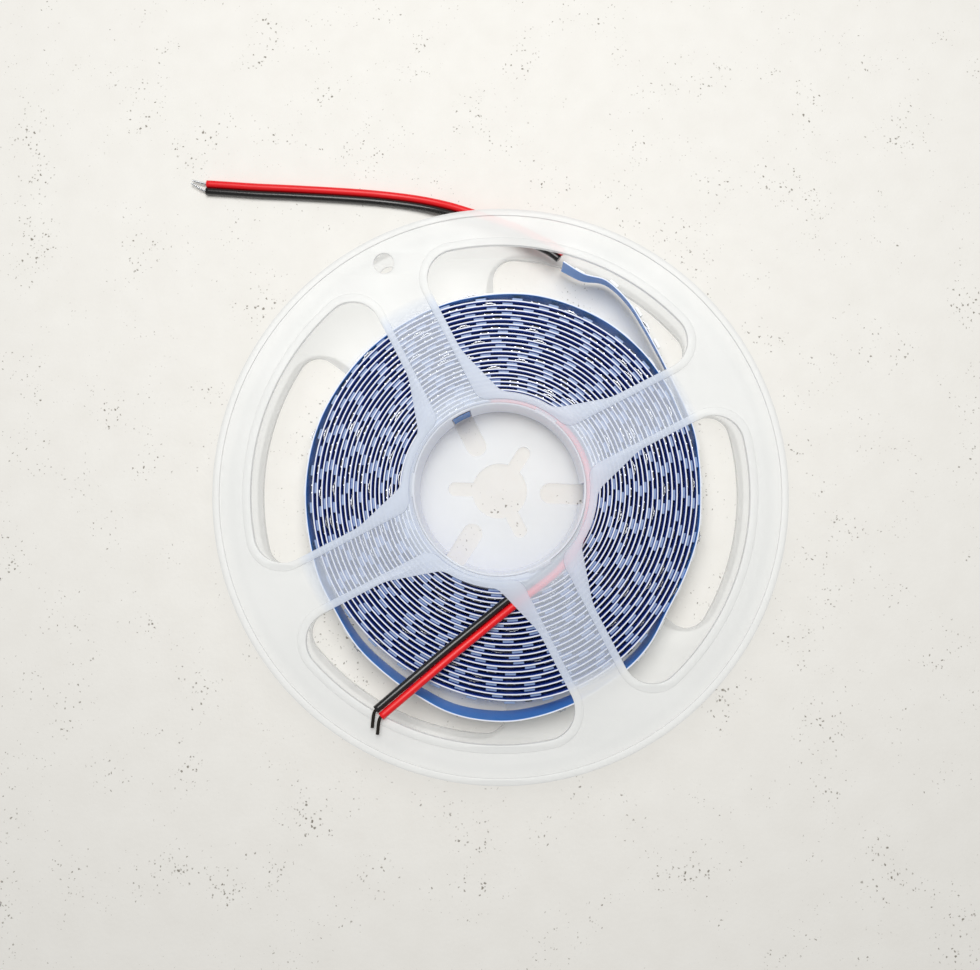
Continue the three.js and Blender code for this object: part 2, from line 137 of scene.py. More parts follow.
def add_piece(name, vertices, faces, smooth_angle=SMOOTH_ANGLE):
    mesh = bpy.data.meshes.new(name)
    mesh.from_pydata([tuple(c * MM for c in v) for v in vertices], [], faces)
    return add_mesh(name, mesh, smooth_angle)


def mesh_from(name, shape):
    """An edited shape as a plain mesh."""
    mesh = bpy.data.meshes.new(name)
    shape.to_mesh(mesh)
    shape.free()
    return mesh


def mesh_of(piece):
    """What a piece's modifiers or its curve make of it, as a plain mesh."""
    return bpy.data.meshes.new_from_object(piece.evaluated_get(bpy.context.evaluated_depsgraph_get()))


def turn_outward(mesh):
    """Merges doubles and points every face outward."""
    shape = bmesh.new()
    shape.from_mesh(mesh)
    bmesh.ops.remove_doubles(shape, verts=shape.verts, dist=MERGE_WITHIN)
    bmesh.ops.recalc_face_normals(shape, faces=shape.faces)
    shape.to_mesh(mesh)
    shape.free()


def finish_piece(piece, material):
    """Gives a piece its material and its body."""
    if material is not None:
        piece.data.materials.clear()
        piece.data.materials.append(material)
    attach(piece, "root")
    return piece


# %% [markdown]
# Helpers for paths. Both the wires and the strip follow a smooth curve through a few points, which is
# then cut into even steps, so that the faces along it are all alike.

# %% Path helpers
def smooth_path(points, per_span=12):
    """A centripetal Catmull-Rom curve through the points, as a dense list."""
    points = np.array(points, float)
    first = 2 * points[0] - points[1]
    last = 2 * points[-1] - points[-2]
    padded = np.vstack([first, points, last])
    result = []
    for a, b, c, d in zip(padded, padded[1:], padded[2:], padded[3:]):
        steps = [max(np.sqrt(np.linalg.norm((q - p)[:3])), 1e-6) for p, q in ((a, b), (b, c), (c, d))]
        leave = ((b - a) / steps[0] - (c - a) / (steps[0] + steps[1]) + (c - b) / steps[1]) * steps[1]
        arrive = ((c - b) / steps[1] - (d - b) / (steps[1] + steps[2]) + (d - c) / steps[2]) * steps[1]
        for t in np.arange(per_span) / per_span:
            cubic = 2 * b - 2 * c + leave + arrive
            square = -3 * b + 3 * c - 2 * leave - arrive
            result.append(b + leave * t + square * t ** 2 + cubic * t ** 3)
    result.append(points[-1])
    return np.array(result)


def even_steps(points, spacing):
    """The same path with its points evenly spaced."""
    gaps = np.linalg.norm(np.diff(points[:, :3], axis=0), axis=1)
    along = np.concatenate([[0], np.cumsum(gaps)])
    count = max(2, int(round(along[-1] / spacing)) + 1)
    wanted = np.linspace(0, along[-1], count)
    return np.stack([np.interp(wanted, along, points[:, k]) for k in range(points.shape[1])], axis=1)


def path_length(points):
    return float(np.linalg.norm(np.diff(points[:, :3], axis=0), axis=1).sum())


# %% [markdown]
# Node trees are built with one helper, which makes a node and fills its sockets, and a second one for
# sums. Finishes share a few node groups. The first gives a value that wanders softly over a surface, as
# the gloss of a moulded part does. The second gives a fine height for a Bump node. The third wanders
# between two colours. Each reads Object coordinates, so the pattern stays with the piece.

# %% Shared node groups
FLOAT = "NodeSocketFloat"
COLOUR = "NodeSocketColor"
BUMP_DEPTH = 0.0001


def feed(tree, socket, what):
    """Gives a socket a plain value, or links it to the output of another node."""
    if isinstance(what, bpy.types.NodeSocket):
        tree.links.new(what, socket)
    else:
        socket.default_value = what


def add_node(tree, kind, sockets=None, **settings):
    """A node with its settings. sockets says what each of its inputs takes."""
    node = tree.nodes.new(kind)
    for label, value in settings.items():
        setattr(node, label, value)
    for socket, what in (sockets or {}).items():
        feed(tree, node.inputs[socket], what)
    return node


def calculate(tree, operation, *values, **settings):
    """The result of a Math node."""
    sockets = dict(enumerate(values))
    return add_node(tree, "ShaderNodeMath", sockets, operation=operation, **settings).outputs["Value"]


def mix_colours(tree, share, first, second):
    """A colour between two. A Mix node has its colours in inputs 6 and 7, and the result in output 2."""
    sockets = {"Factor": share, 6: first, 7: second}
    return add_node(tree, "ShaderNodeMix", sockets, data_type="RGBA").outputs[2]


def new_group(name, inputs, output):
    """An empty group. inputs are (label, kind, value), and output is (label, kind)."""
    group = bpy.data.node_groups.new(name, "ShaderNodeTree")
    for label, kind, value in inputs:
        group.interface.new_socket(label, in_out="INPUT", socket_type=kind).default_value = value
    group.interface.new_socket(output[0], in_out="OUTPUT", socket_type=output[1])
    return group, group.nodes.new("NodeGroupInput")


def group_noise(group, entry, detail):
    place = group.nodes.new("ShaderNodeTexCoord")
    sockets = {"Vector": place.outputs["Object"], "Scale": entry.outputs["Scale"], "Detail": detail}
    return add_node(group, "ShaderNodeTexNoise", sockets).outputs["Fac"]


def make_wandering_value():
    inputs = [("Scale", FLOAT, 200.0), ("Low", FLOAT, 0.3), ("High", FLOAT, 0.5)]
    group, entry = new_group("wandering_value", inputs, ("Value", FLOAT))
    spread = add_node(group, "ShaderNodeMapRange", {
        "Value": group_noise(group, entry, 3), "From Min": 0.3, "From Max": 0.7,
        "To Min": entry.outputs["Low"], "To Max": entry.outputs["High"],
    })
    add_node(group, "NodeGroupOutput", {"Value": spread.outputs["Result"]})
    return group


def make_fine_height():
    group, entry = new_group("fine_height", [("Scale", FLOAT, 1500.0)], ("Height", FLOAT))
    add_node(group, "NodeGroupOutput", {"Height": group_noise(group, entry, 2)})
    return group


def make_wandering_colour():
    colours = [("First", COLOUR, (1, 1, 1, 1)), ("Second", COLOUR, (0.8, 0.8, 0.8, 1))]
    group, entry = new_group("wandering_colour", [("Scale", FLOAT, 200.0)] + colours, ("Color", COLOUR))
    noise = group_noise(group, entry, 4)
    mixed = mix_colours(group, noise, entry.outputs["First"], entry.outputs["Second"])
    add_node(group, "NodeGroupOutput", {"Color": mixed})
    return group


WANDERING_VALUE = make_wandering_value()
FINE_HEIGHT = make_fine_height()
WANDERING_COLOUR = make_wandering_colour()


def from_group(tree, group, **values):
    """The output of a shared group, placed in a tree with its own values."""
    return add_node(tree, "ShaderNodeGroup", values, node_tree=group).outputs[0]


def colour(red, green, blue):
    """A colour written as 0 to 255 values of the screen, in the linear values that a shader takes."""
    linear = []
    for value in (red, green, blue):
        share = value / 255
        linear.append(share / 12.92 if share <= 0.04045 else ((share + 0.055) / 1.055) ** 2.4)
    return (*linear, 1)


def make_material(name, first, second, rough, grain, colour_scale=120.0, bump=0.05, **plain):
    """A material whose colour wanders between two, with a wandering gloss and a fine bump.
    rough is (low, high), grain the scale of the bump, and plain sets sockets of the shader itself."""
    material = bpy.data.materials.new(name)
    material.use_nodes = True
    tree = material.node_tree
    height = from_group(tree, FINE_HEIGHT, Scale=grain)
    relief = add_node(tree, "ShaderNodeBump", {"Strength": bump, "Distance": BUMP_DEPTH, "Height": height})
    sockets = {
        "Base Color": from_group(tree, WANDERING_COLOUR, Scale=colour_scale, First=first, Second=second),
        "Roughness": from_group(tree, WANDERING_VALUE, Scale=colour_scale * 2, Low=rough[0], High=rough[1]),
        "Normal": relief.outputs["Normal"],
    }
    sockets.update({label.replace("_", " "): value for label, value in plain.items()})
    for label, what in sockets.items():
        feed(tree, tree.nodes["Principled BSDF"].inputs[label], what)
    return material


# %% [markdown]
# The leads are two plastic-covered wires that lie side by side. They are cords, so their routes are the
# ones that the solids follow, point for point. Each point has the middle of the pair, its height and
# how the pair lies: at 90 the red wire is above the black one, at 0 on the left and at 180 on the right.

# %% Routes of the leads
WIRE_SPACING = 1.8
WIRE_R = 0.89
WIRE_SIDES = 16
WIRE_STEP = 0.8

OUTER_LEAD = [
    [14.3, 54.15, 7.3, 150], [12.95, 55.35, 7.1, 155], [11.7, 56.25, 6.9, 160], [9.2, 57.7, 6.3, 165],
    [6.6, 59.2, 5.6, 170], [3.95, 60.8, 4.9, 175], [0.55, 62.3, 4.2, 178], [-2.8, 63.65, 3.5, 180],
    [-5.9, 64.85, 3, 180], [-9, 66, 2.6, 180], [-11.9, 67.05, 2.15, 180], [-15, 68, 1.6, 180],
    [-19.2, 69, 1.15, 180], [-24, 69.8, 0.93, 180], [-31, 70.6, 0.9, 180], [-37.9, 71.15, 0.9, 180],
    [-44.8, 71.6, 0.9, 180], [-51.8, 72, 0.9, 180], [-58.7, 72.35, 0.9, 180], [-65.1, 72.8, 0.9, 180],
    [-70.85, 73.2, 0.9, 180],
]

INNER_LEAD = [
    [-1.94, 20.2, 5.7, 90], [1.77, 20.22, 5.8, 90], [6.94, 19.08, 6.1, 90], [11.64, 16.63, 6.4, 90],
    [15.55, 13.05, 6.7, 90], [18.4, 8.58, 7.1, 90], [19.99, 3.53, 7.6, 90], [20.23, -1.77, 8.4, 90],
    [19.22, -6.99, 9.6, 78], [17.5, -10.93, 10.15, 56], [15.5, -13.95, 10.42, 38], [13.4, -16.2, 10.66, 18],
    [11.6, -18, 10.8, 5], [7.3, -21.4, 10.8, 0], [2.5, -25, 10.8, 0], [-4.2, -30.4, 10.85, 0],
    [-11.2, -36, 11.7, 0], [-18.8, -42.3, 13.3, 0], [-25.9, -48.2, 14.4, 0],
]


def wire_route(lead, side):
    """The middle line of one wire of a pair, as evenly spaced points."""
    points = []
    for i, (x, y, z, lie) in enumerate(lead):
        before = lead[max(0, i - 1)]
        after = lead[min(len(lead) - 1, i + 1)]
        heading = math.atan2(after[1] - before[1], after[0] - before[0])
        reach = side * WIRE_SPACING / 2
        flat = reach * math.cos(math.radians(lie))
        points.append([
            x - math.sin(heading) * flat,
            y + math.cos(heading) * flat,
            z + reach * math.sin(math.radians(lie)),
        ])
    return even_steps(smooth_path(points), WIRE_STEP)


def sweep(name, route, radii, sides):
    """A closed tube along a route. radii holds one radius for each point."""
    vertices = []
    faces = []
    tangents = np.gradient(route, axis=0)
    tangents /= np.linalg.norm(tangents, axis=1)[:, None]
    across = np.cross(tangents[0], (0, 0, 1))
    for i, (point, tangent) in enumerate(zip(route, tangents)):
        across = across - tangent * np.dot(across, tangent)
        across /= np.linalg.norm(across)
        up = np.cross(across, tangent)
        for k in range(sides):
            turn = 2 * math.pi * k / sides
            vertices.append(point + radii[i] * (across * math.cos(turn) + up * math.sin(turn)))
    for i in range(len(route) - 1):
        for k in range(sides):
            a = i * sides + k
            b = i * sides + (k + 1) % sides
            faces.append((a, b, b + sides, a + sides))
    faces.append(tuple(range(sides)))
    faces.append(tuple(reversed(range((len(route) - 1) * sides, len(route) * sides))))
    piece = add_piece(name, vertices, faces, smooth_angle=50)
    turn_outward(piece.data)
    return piece


def with_rounded_ends(route, radius, rounding):
    """The route with extra points near its ends, and the radii that round its rims."""
    head = route[1] - route[0]
    tail = route[-1] - route[-2]
    head /= np.linalg.norm(head)
    tail /= np.linalg.norm(tail)
    step = rounding / 2
    starts = [route[0], route[0] + head * step * 0.3, route[0] + head * step]
    ends = [route[-1] - tail * step, route[-1] - tail * step * 0.3, route[-1]]
    points = np.vstack([starts, route[1:-1], ends])
    radii = [radius - rounding, radius - rounding * 0.3] + [radius] * (len(points) - 4)
    radii += [radius - rounding * 0.3, radius - rounding]
    return points, radii


# %% [markdown]
# The insulation is soft PVC, slightly uneven where it was bent. The red wire has a dull shine and the
# black one a glossier skin, so each has its own values in the shared helper. The tips are bright tin,
# and the pins a dull dark metal.

# %% Insulation materials
RED = make_material(
    "red_pvc", colour(246, 18, 28), colour(232, 10, 22), (0.32, 0.46), 900, colour_scale=90.0, bump=0.15,
    Coat_Weight=0.15, Coat_Roughness=0.25,
)
BLACK = make_material(
    "black_pvc", colour(22, 22, 23), colour(10, 10, 11), (0.22, 0.34), 900, colour_scale=90.0, bump=0.1,
    Coat_Weight=0.4, Coat_Roughness=0.15,
)
TINNED = make_material(
    "tinned_wire", colour(214, 216, 220), colour(168, 171, 176), (0.22, 0.4), 2500, bump=0.25, Metallic=1.0,
)
PIN_METAL = make_material(
    "pin_metal", colour(74, 70, 66), colour(40, 38, 36), (0.35, 0.5), 2000, bump=0.2, Metallic=1.0,
)

# %% [markdown]
# Each wire is a tube with slightly rounded rims. The outer lead ends in a twist of tinned strands, and
# the inner one in a bent pin. The twist is made of seven thin strands wound round each other, because a
# plain rod would look wrong from close by.

# %% Wires, tips and pins
WIRE_RIM = 0.12
TIP_REACH = {"red": (-3.2, 0.8, 0.2), "black": (-3.3, 1.9, 0.3)}
TIP_ROOT = 0.2
TIP_STRAIGHT = 0.35
TIP_AHEAD = 0.3
TIP_CORE_R = 0.17
TWIST_TURN = 0.32
TWIST_TAPER = 0.45
STRAND_R = 0.1
STRANDS = 7
STRAND_SIDES = 6
PIN_REACH = (-0.5, -3.6, -0.1)
PIN_R = 0.37
PIN_RIM = 0.1
PIN_SIDES = 12
END_STEP = 0.15


def end_route(route, reach):
    """The route of a bare end: straight out of the insulation, then bent to where it reaches."""
    heading = route[-1] - route[-2]
    heading[2] = 0
    heading /= np.linalg.norm(heading)
    reach = np.array(reach)
    start = route[-1] - heading * TIP_ROOT
    bend = route[-1] + heading * TIP_STRAIGHT + reach * 0.1
    end = route[-1] + heading * TIP_AHEAD + reach
    return even_steps(smooth_path([start, bend, end]), END_STEP)


def strand_twist(name, route):
    """Tinned strands wound round a middle line, joined into one mesh."""
    shape = bmesh.new()
    count = len(route)
    for strand in range(STRANDS):
        phase = 2 * math.pi * strand / STRANDS
        wound = []
        for i, point in enumerate(route):
            angle = phase + i * TWIST_TURN
            spread = TIP_CORE_R * (1 - TWIST_TAPER * i / count)
            wound.append(point + np.array([0, math.cos(angle), math.sin(angle)]) * spread)
        piece = sweep("strand", np.array(wound), [STRAND_R] * count, STRAND_SIDES)
        shape.from_mesh(piece.data)
        bpy.data.meshes.remove(piece.data)
    return add_mesh(name, mesh_from(name, shape), smooth_angle=60)


def make_wire(end_name, colour_name, lead, side, material):
    route = wire_route(lead, side)
    points, radii = with_rounded_ends(route, WIRE_R, WIRE_RIM)
    name = f"{end_name}_wire_{colour_name}"
    wire = finish_piece(sweep(name, points, radii, WIRE_SIDES), material)
    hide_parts(f"{end_name}_lead_{colour_name}")
    if end_name == "outer":
        bare = strand_twist(f"outer_strands_{colour_name}", end_route(route, TIP_REACH[colour_name]))
        finish_piece(bare, TINNED)
        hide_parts(f"outer_tip_{colour_name}")
    else:
        line = end_route(route, PIN_REACH)
        pin_points, pin_radii = with_rounded_ends(line, PIN_R, PIN_RIM)
        bare = sweep(f"inner_pin_shaft_{colour_name}", pin_points, pin_radii, PIN_SIDES)
        finish_piece(bare, PIN_METAL)
        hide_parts(f"inner_pin_{colour_name}")
    print(name, "length", round(path_length(route), 1), "mm")


for end_name, lead in (("outer", OUTER_LEAD), ("inner", INNER_LEAD)):
    for colour_name, side, material in (("red", 1, RED), ("black", -1, BLACK)):
        make_wire(end_name, colour_name, lead, side, material)

# %% [markdown]
# The roll follows a rule, so its path is a formula. The tight part is a spiral whose pitch grows a
# little. It isn't round: it bulges at one side and sits in at another, and after its first turns it
# rides over the lead that lies against the hub. The loose outer turn and its tail are a list of points,
# each with its angle, its radius and how far the strip's bottom edge leans out there.

# %% Path of the strip
ROLL_START_R = 20.3
ROLL_START_ANGLE = 97
ROLL_TURNS = 23
ROLL_PITCH = 0.97
ROLL_PITCH_GROWTH = 0.0034
ROLL_END_ANGLE = 20
ROLL_STEP = 3.0
BULGE = {"reach": 2.75, "angle": 283, "spread": 34}
DIP = {"reach": 1.65, "angle": 175, "spread": 50}
LIFT = {"reach": 0.75, "angle": 20, "spread": 80}
LIFT_STARTS = 0.35
LIFT_FADES = 5
LOOSE_STEP = 0.9
LOOSE_TURN = [
    [32, 44.6, 0], [45, 45.1, 0], [60, 45.3, 0], [80, 45.15, 0], [100, 44.4, 0], [116, 43.85, 0],
    [135, 43.6, 0], [158, 43.55, 0], [180, 43.6, 0], [204, 44.6, 0], [216, 45.25, 0], [228, 46.8, -0.2],
    [241, 48, -0.4], [249, 48.8, -0.5], [257, 50, -0.6], [265, 50.55, -0.7], [275, 50.6, -0.7],
    [289, 49.6, -0.5], [305, 48.35, -0.2], [314, 47.45, 0], [324, 45.75, 0], [336, 45.3, 0], [348, 45.3, 0],
    [360, 45, 0], [369.5, 45.3, 0.1], [377.8, 45.8, 0.4], [395.4, 46.66, 1.3], [403.7, 48.3, 1.3],
    [408, 49.5, 1.3], [414.8, 51.8, 1.3], [420.6, 53.3, 1.3], [423.6, 53.7, 1.1], [428.5, 53, 0.5],
    [434.3, 54.26, 0],
]


def hump(degrees, feature, power=2):
    """How far a feature of the roll reaches at an angle, with its full reach at its own angle."""
    away = (degrees - feature["angle"] + 180) % 360 - 180
    return feature["reach"] * math.exp(-(away / feature["spread"]) ** power)


def tight_radius(degrees):
    turn = (degrees - ROLL_START_ANGLE) / 360
    started = 1 - math.exp(-(turn / LIFT_STARTS) ** 4)
    lift = started * math.exp(-turn / LIFT_FADES) * hump(degrees, LIFT, power=6)
    spiral = ROLL_START_R + ROLL_PITCH * turn + ROLL_PITCH_GROWTH * turn ** 2
    return spiral + turn / ROLL_TURNS * (hump(degrees, BULGE) - hump(degrees, DIP)) + lift


def on_circle(radius, degrees):
    return [radius * math.cos(math.radians(degrees)), radius * math.sin(math.radians(degrees))]


def strip_stations():
    """Points along the strip's middle: x, y, and how far the bottom edge leans out."""
    end = ROLL_END_ANGLE + 360 * ROLL_TURNS
    angles = np.linspace(ROLL_START_ANGLE, end, int((end - ROLL_START_ANGLE) / ROLL_STEP))
    tight = np.array([[*on_circle(tight_radius(a), a), 0] for a in angles])
    guides = [list(tight[-1])] + [[*on_circle(radius, a), lean] for a, radius, lean in LOOSE_TURN]
    loose = even_steps(smooth_path(guides), LOOSE_STEP)
    return tight, loose


tight_stations, loose_stations = strip_stations()
stations = np.vstack([tight_stations, loose_stations[1:]])
flat_steps = np.linalg.norm(np.diff(stations[:, :2], axis=0), axis=1)
station_lengths = np.concatenate([[0], np.cumsum(flat_steps)])
STRIP_LENGTH = station_lengths[-1]
print("strip length", round(STRIP_LENGTH / 1000, 3), "m in", len(stations), "stations")

# %% [markdown]
# The strip itself is a thin white board with the lights on its outward face and a blue release liner
# on its inward face. Both are ribbons on edge, so one function makes them from a section: a list of
# offsets across the ribbon and heights, with small chamfers that catch the light along the top edge. The
# liner in the tight roll has a darker copy of its blue, painted shade for the deep gaps between the
# turns; on the loose turn it keeps its own lighter blue. Its inner end shows in one of the hub's slots.

# %% Board and liner
BOARD_IN = -0.15
BOARD_OUT = 0.15
LINER_THICK = 0.08
EDGE_CHAMFER = 0.05
TAB_R = 18.9
TAB_ANGLES = (111.2, 123.8)
TAB_POINTS = 6


def outward_vectors(points):
    along = np.gradient(points[:, :2], axis=0)
    along /= np.linalg.norm(along, axis=1)[:, None]
    return np.stack([along[:, 1], -along[:, 0]], axis=1)


def ribbon_section(inner, outer, low, high):
    cut = min(EDGE_CHAMFER, (outer - inner) / 3)
    return [
        (inner, low + cut), (inner + cut, low), (outer - cut, low), (outer, low + cut),
        (outer, high - cut), (outer - cut, high), (inner + cut, high), (inner, high - cut),
    ]


def make_ribbon(name, points, section, material):
    outward = outward_vectors(points)
    height = STRIP_TOP - STRIP_BOTTOM
    vertices = []
    faces = []
    count = len(section)
    for point, out in zip(points, outward):
        for offset, level in section:
            reach = offset + point[2] * (STRIP_TOP - level) / height
            vertices.append((point[0] + out[0] * reach, point[1] + out[1] * reach, level))
    for i in range(len(points) - 1):
        for k in range(count):
            a = i * count + k
            b = i * count + (k + 1) % count
            faces.append((a, a + count, b + count, b))
    faces.append(tuple(range(count)))
    faces.append(tuple(reversed(range((len(points) - 1) * count, len(points) * count))))
    piece = add_piece(name, vertices, faces)
    turn_outward(piece.data)
    print(name, len(piece.data.polygons), "faces")
    return finish_piece(piece, material)


BOARD = make_material(
    "white_board", colour(246, 249, 255), colour(234, 240, 252), (0.3, 0.45), 1200, bump=0.08,
)
LINER = make_material(
    "blue_liner", colour(66, 152, 236), colour(46, 130, 222), (0.28, 0.42), 700, colour_scale=60.0,
    bump=0.2, Coat_Weight=0.2, Coat_Roughness=0.25,
)
# Painted shade: a darker copy of the liner's blue for the tight roll, where the gaps between turns lie in
# shade.
SHADE_PAINTED_LINER = make_material(
    "wound_liner", colour(38, 88, 196), colour(24, 62, 164), (0.3, 0.45), 700, colour_scale=60.0, bump=0.2,
)

board_section = ribbon_section(BOARD_IN, BOARD_OUT, STRIP_BOTTOM, STRIP_TOP)
liner_section = ribbon_section(BOARD_IN - LINER_THICK, BOARD_IN, STRIP_BOTTOM, STRIP_TOP)
tab_stations = np.array([[*on_circle(TAB_R, angle), 0] for angle in np.linspace(*TAB_ANGLES, TAB_POINTS)])
board = make_ribbon("strip_board", stations, board_section, BOARD)
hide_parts("led_strip")
make_ribbon("wound_liner", tight_stations, liner_section, SHADE_PAINTED_LINER)
make_ribbon("loose_liner", loose_stations, liner_section, LINER)
make_ribbon("liner_tab", tab_stations, liner_section, LINER)

# %% [markdown]
# About six hundred light packages stand on the board, 120 to the metre, with a resistor after every
# third one and a pair of solder pads at every sixth. That is what Geometry Nodes are for: one tree puts
# a piece on each point of a mesh, turned as the point says, and a second small mesh holds the points.

# %% Tree for copies along the strip
def make_copies_tree():
    tree = bpy.data.node_groups.new("copies_on_points", "GeometryNodeTree")
    kinds = {"Places": "Geometry", "Piece": "Object", "Finish": "Material", "Size": "Float"}
    for label, kind in kinds.items():
        tree.interface.new_socket(label, in_out="INPUT", socket_type="NodeSocket" + kind)
    tree.interface.new_socket("Result", in_out="OUTPUT", socket_type="NodeSocketGeometry")
    given = tree.nodes.new("NodeGroupInput").outputs
    points = add_node(tree, "GeometryNodeMeshToPoints", {"Mesh": given["Places"]})
    source = add_node(tree, "GeometryNodeObjectInfo", {"Object": given["Piece"]})
    turn = add_node(tree, "GeometryNodeInputNamedAttribute", {"Name": "turn"}, data_type="FLOAT_VECTOR")
    rotation = add_node(tree, "FunctionNodeEulerToRotation", {"Euler": turn.outputs["Attribute"]})
    copies = add_node(tree, "GeometryNodeInstanceOnPoints", {
        "Points": points.outputs["Points"], "Instance": source.outputs["Geometry"],
        "Rotation": rotation.outputs["Rotation"], "Scale": given["Size"],
    })
    real = add_node(tree, "GeometryNodeRealizeInstances", {"Geometry": copies.outputs["Instances"]})
    sockets = {"Geometry": real.outputs["Geometry"], "Material": given["Finish"]}
    paint = add_node(tree, "GeometryNodeSetMaterial", sockets)
    add_node(tree, "NodeGroupOutput", {"Result": paint.outputs["Geometry"]})
    return tree


COPIES = make_copies_tree()
SOCKETS = {item.name: item.identifier for item in COPIES.interface.items_tree}


def copy_along(name, places, piece, material):
    """Copies of a small piece at each place, (x, y, z, turn in radians), as one plain mesh."""
    mesh = bpy.data.meshes.new(name + "_places")
    mesh.from_pydata([(x * MM, y * MM, z * MM) for x, y, z, _ in places], [], [])
    turns = mesh.attributes.new("turn", "FLOAT_VECTOR", "POINT")
    turns.data.foreach_set("vector", np.array([(0, 0, turn) for *_, turn in places]).ravel())
    holder = new_object(name + "_places", mesh)
    modifier = holder.modifiers.new("copies", "NODES")
    modifier.node_group = COPIES
    modifier[SOCKETS["Piece"]] = piece
    modifier[SOCKETS["Finish"]] = material
    modifier[SOCKETS["Size"]] = 1.0
    result = mesh_of(holder)
    bpy.data.objects.remove(holder)
    bpy.data.objects.remove(piece)
    made = add_mesh(name, result, smooth_angle=30)
    print(name, len(places), "copies", len(result.polygons), "faces")
    return finish_piece(made, None)


# %% [markdown]
# A light package is a pale plastic body with a yellow lens. A rounded box with few faces is enough for
# each at this size. X runs along the strip and Y outward from its face.

# %% Light packages
LED_PITCH = 8.333
LED_SIZE = (2.4, 0.66, 3.5)
LED_ROUNDING = 0.08
LENS_SIZE = (1.8, 0.06, 2.7)
LENS_ROUNDING = 0.02
LENS_SINK = 0.01
STRIP_MIDDLE = (STRIP_BOTTOM + STRIP_TOP) / 2
LED_LEVEL = STRIP_MIDDLE + 1.6
OUTER_LED_LEVEL = STRIP_MIDDLE + 0.2
OUTER_TURN_LENGTH = 330
outward_all = outward_vectors(stations)


def rounded_box(name, size, rounding):
    shape = bmesh.new()
    bmesh.ops.create_cube(shape, size=1)
    for vertex in shape.verts:
        vertex.co = Vector([vertex.co[k] * size[k] for k in range(3)]) * MM
    bmesh.ops.bevel(shape, geom=shape.edges[:], offset=rounding * MM, segments=1, affect="EDGES")
    return new_object(name, mesh_from(name, shape))


def place_on_strip(along, offset, level):
    """A place on the strip: along its length, out from the board's outward face, at a height."""
    x, y, lean = (np.interp(along, station_lengths, stations[:, k]) for k in range(3))
    out = np.array([np.interp(along, station_lengths, outward_all[:, k]) for k in range(2)])
    out /= np.linalg.norm(out)
    reach = BOARD_OUT + offset + lean * (STRIP_TOP - level) / (STRIP_TOP - STRIP_BOTTOM)
    turn = math.atan2(out[1], out[0]) - math.pi / 2
    return x + out[0] * reach, y + out[1] * reach, level, turn


def is_loose(along):
    return along > STRIP_LENGTH - OUTER_TURN_LENGTH


def led_places(starts, offset):
    """The packages sit a little higher under the tight turns than on the loose one."""
    return [place_on_strip(s, offset, OUTER_LED_LEVEL if is_loose(s) else LED_LEVEL) for s in starts]


# Under the tight turns the bodies get a blue-grey copy of their white: painted shade, with a painted tint
# for the blue that the liner throws into the gaps. On the loose turn they keep the white of their own
# plastic.
SHADE_PAINTED_LED_BODY = make_material(
    "shade_painted_led_body", colour(150, 172, 208), colour(122, 148, 192), (0.35, 0.5), 1500,
)
BRIGHT_LED_BODY = make_material(
    "bright_led_body", colour(247, 248, 248), colour(238, 241, 243), (0.35, 0.5), 1500,
)
LED_LENS = make_material(
    "led_lens", colour(238, 206, 86), colour(226, 190, 60), (0.12, 0.22), 600, bump=0.03,
    Coat_Weight=0.6, Coat_Roughness=0.1,
)

led_count = int(STRIP_LENGTH / LED_PITCH)
led_starts = [STRIP_LENGTH - LED_PITCH * (i + 0.5) for i in range(led_count)]
for name, body, loose in (("led_bodies", SHADE_PAINTED_LED_BODY, False), ("loose_led_bodies", BRIGHT_LED_BODY, True)):
    places = led_places([along for along in led_starts if is_loose(along) == loose], LED_SIZE[1] / 2)
    copy_along(name, places, rounded_box("body", LED_SIZE, LED_ROUNDING), body)
lens_places = led_places(led_starts, LED_SIZE[1] - LENS_SINK)
copy_along("led_lenses", lens_places, rounded_box("lens", LENS_SIZE, LENS_ROUNDING), LED_LENS)

# %% [markdown]
# Between the packages stand black resistors with bright ends, pairs of cut pads, and the thin ridges of
# the joints where two lengths of strip overlap. They are copied by the same tree.

# %% Resistors, pads and joints
RESISTOR_SIZE = (1.6, 0.35, 0.8)
RESISTOR_LEVEL = 3.1
TERMINAL_SIZE = (0.5, 0.3, 0.9)
TERMINAL_OUT = 0.14
TERMINAL_GAP = 0.05
PAD_SIZE = (1.3, 0.06, 1.9)
PAD_OUT = 0.02
PAD_ASIDE = 0.85
PAD_LEVEL = 2
JOINT_SIZE = (2.3, 0.1, 0.9)
JOINT_TILT = 0.19
JOINT_ASIDE = 0.4
JOINT_BELOW_TOP = 0.7

RESISTOR = make_material("resistor_body", colour(30, 30, 34), colour(18, 18, 20), (0.3, 0.5), 1500)
SOLDER = make_material(
    "bright_solder", colour(226, 228, 232), colour(186, 190, 198), (0.15, 0.3), 1800, bump=0.2, Metallic=1.0,
)

resistor_places = []
terminal_places = []
pad_places = []
joint_places = []
for i in range(led_count - 1):
    along = led_starts[i] - LED_PITCH / 2
    if i % 3 == 1:
        levels = [STRIP_MIDDLE - RESISTOR_LEVEL]
        if not is_loose(along):
            levels.append(STRIP_MIDDLE + RESISTOR_LEVEL)
        for level in levels:
            resistor_places.append(place_on_strip(along, RESISTOR_SIZE[1] / 2, level))
            for side in (-1, 1):
                shifted = along + side * (RESISTOR_SIZE[0] / 2 + TERMINAL_GAP)
                terminal_places.append(place_on_strip(shifted, TERMINAL_OUT, level))
    if i % 6 == 2:
        for side in (-1, 1):
            for level in (STRIP_MIDDLE + PAD_LEVEL, STRIP_MIDDLE - PAD_LEVEL):
                pad_places.append(place_on_strip(along + side * PAD_ASIDE, PAD_OUT, level))
            shifted = along + side * JOINT_ASIDE
            x, y, z, turn = place_on_strip(shifted, LED_SIZE[1] / 2, STRIP_TOP - JOINT_BELOW_TOP)
            joint_places.append((x, y, z, turn + side * JOINT_TILT))

